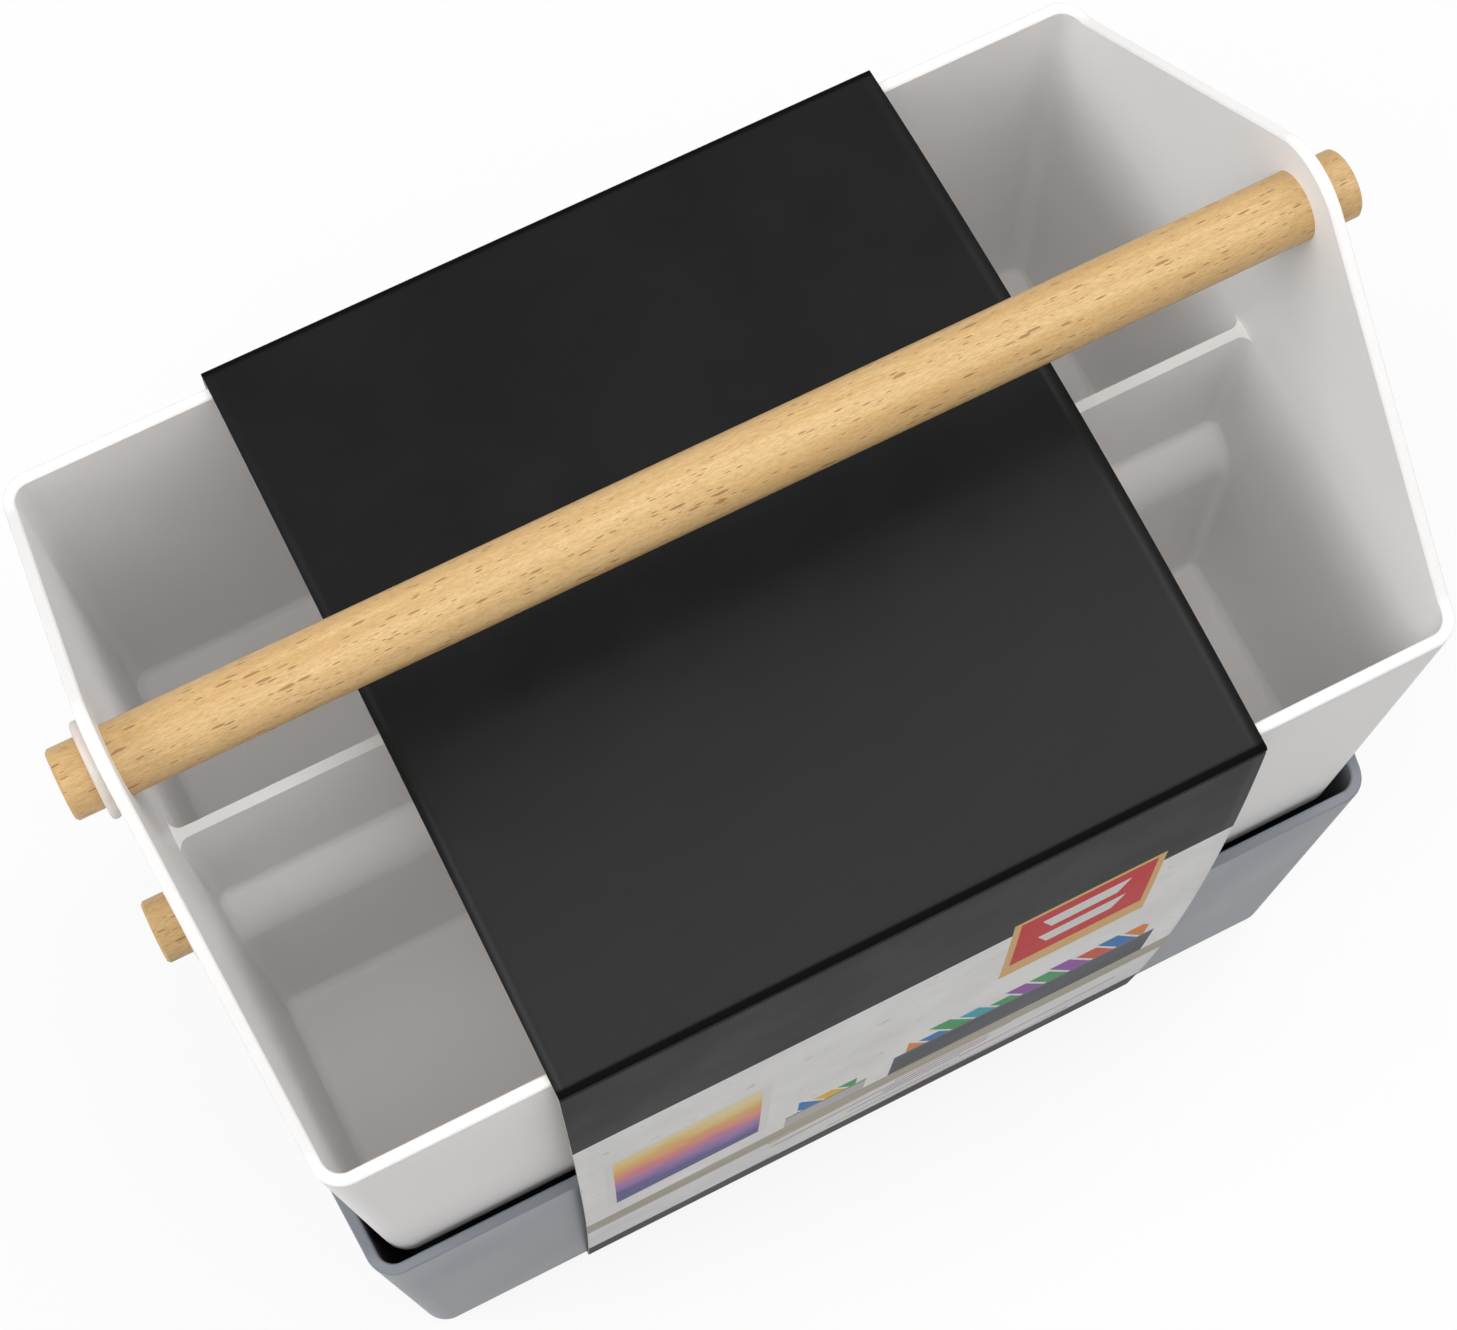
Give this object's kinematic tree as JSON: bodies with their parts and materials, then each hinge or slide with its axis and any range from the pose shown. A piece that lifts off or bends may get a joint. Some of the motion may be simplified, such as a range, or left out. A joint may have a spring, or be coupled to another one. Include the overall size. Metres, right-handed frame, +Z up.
{
  "type": "stacked carry-all baskets",
  "caption": "Stacked open carry-all baskets with wooden dowel handles, held together by a printed card sleeve; each basket has a centre divider and a handle tunnel in its base.",
  "frame": {"origin": "on the surface the stack stands on, under the middle of the stack", "axes": "+X along the handles to the right, +Y to the back, +Z up"},
  "size_m": [0.375, 0.2356, 0.3923],
  "materials": {
    "basket_slate": "slate blue-grey moulded plastic, fine satin texture",
    "basket_white": "white moulded plastic, fine satin texture",
    "handle_wood": "turned beech, sanded and unfinished",
    "ring_rubber": "milky translucent silicone",
    "sleeve_card": null
  },
  "bodies": {
    "lower_basket": {"lower_basket": "basket_slate"},
    "lower_handle": {"lower_handle": "handle_wood", "lower_ring_left": "ring_rubber", "lower_ring_right": "ring_rubber"},
    "upper_basket": {"upper_basket": "basket_white"},
    "upper_handle": {"upper_handle": "handle_wood", "upper_ring_left": "ring_rubber", "upper_ring_right": "ring_rubber"},
    "card_sleeve": {"card_sleeve": "sleeve_card"}
  },
  "joints": [
    {"name": "lower_handle_turn", "type": "hinge", "parent": "lower_basket", "child": "lower_handle", "pos_m": [0, 0, 0.22205], "axis": [1, 0, 0], "continuous": true},
    {"name": "basket_lift", "type": "slide", "parent": "lower_basket", "child": "upper_basket", "axis": [0, 0, 1], "range_m": [0, 0.001]},
    {"name": "upper_handle_turn", "type": "hinge", "parent": "upper_basket", "child": "upper_handle", "pos_m": [0, 0, 0.37155], "axis": [1, 0, 0], "continuous": true},
    {"name": "sleeve_slide", "type": "slide", "parent": "lower_basket", "child": "card_sleeve", "axis": [1, 0, 0], "range_m": [-0.06, 0.06]}
  ]
}
